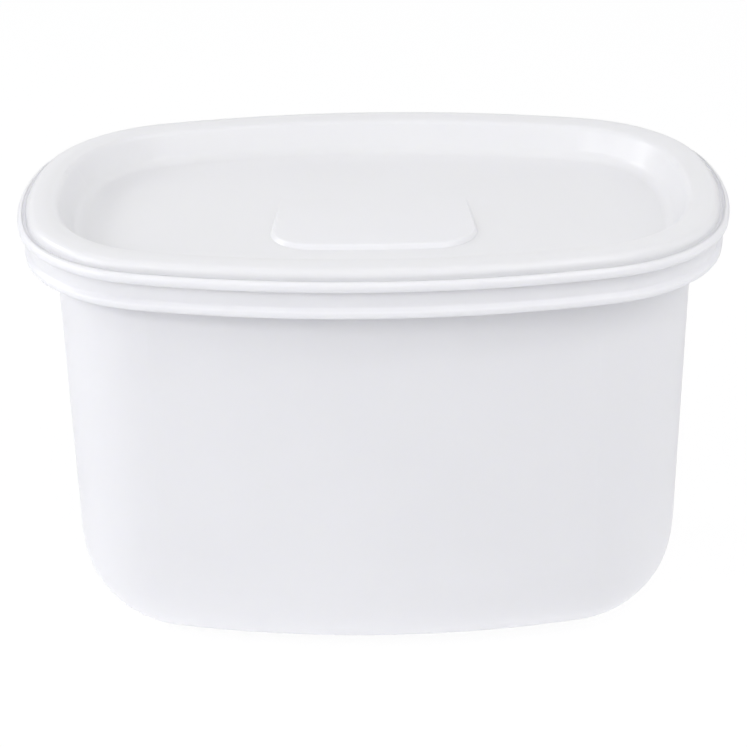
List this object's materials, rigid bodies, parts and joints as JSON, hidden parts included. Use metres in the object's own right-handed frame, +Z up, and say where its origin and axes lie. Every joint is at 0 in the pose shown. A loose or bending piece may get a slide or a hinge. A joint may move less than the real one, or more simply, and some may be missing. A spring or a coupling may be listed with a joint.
{
  "type": "food storage container",
  "caption": "Shut oval food storage container with a press-on lid, a stacking recess, a raised thumb pad and a collar round its mouth.",
  "frame": {"origin": "centre of the base, on the plane that the container stands on", "axes": "+X along the length, +Y along the depth away from the thumb pad's free edge, +Z up through the lid"},
  "size_m": [0.196, 0.1274, 0.126],
  "materials": {
    "tub_plastic": "satin white moulded plastic, faintly cool",
    "lid_plastic": "satin white moulded plastic, a little glossier than the tub"
  },
  "bodies": {
    "root": {"tub": "tub_plastic", "lid": "lid_plastic"}
  },
  "joints": []
}
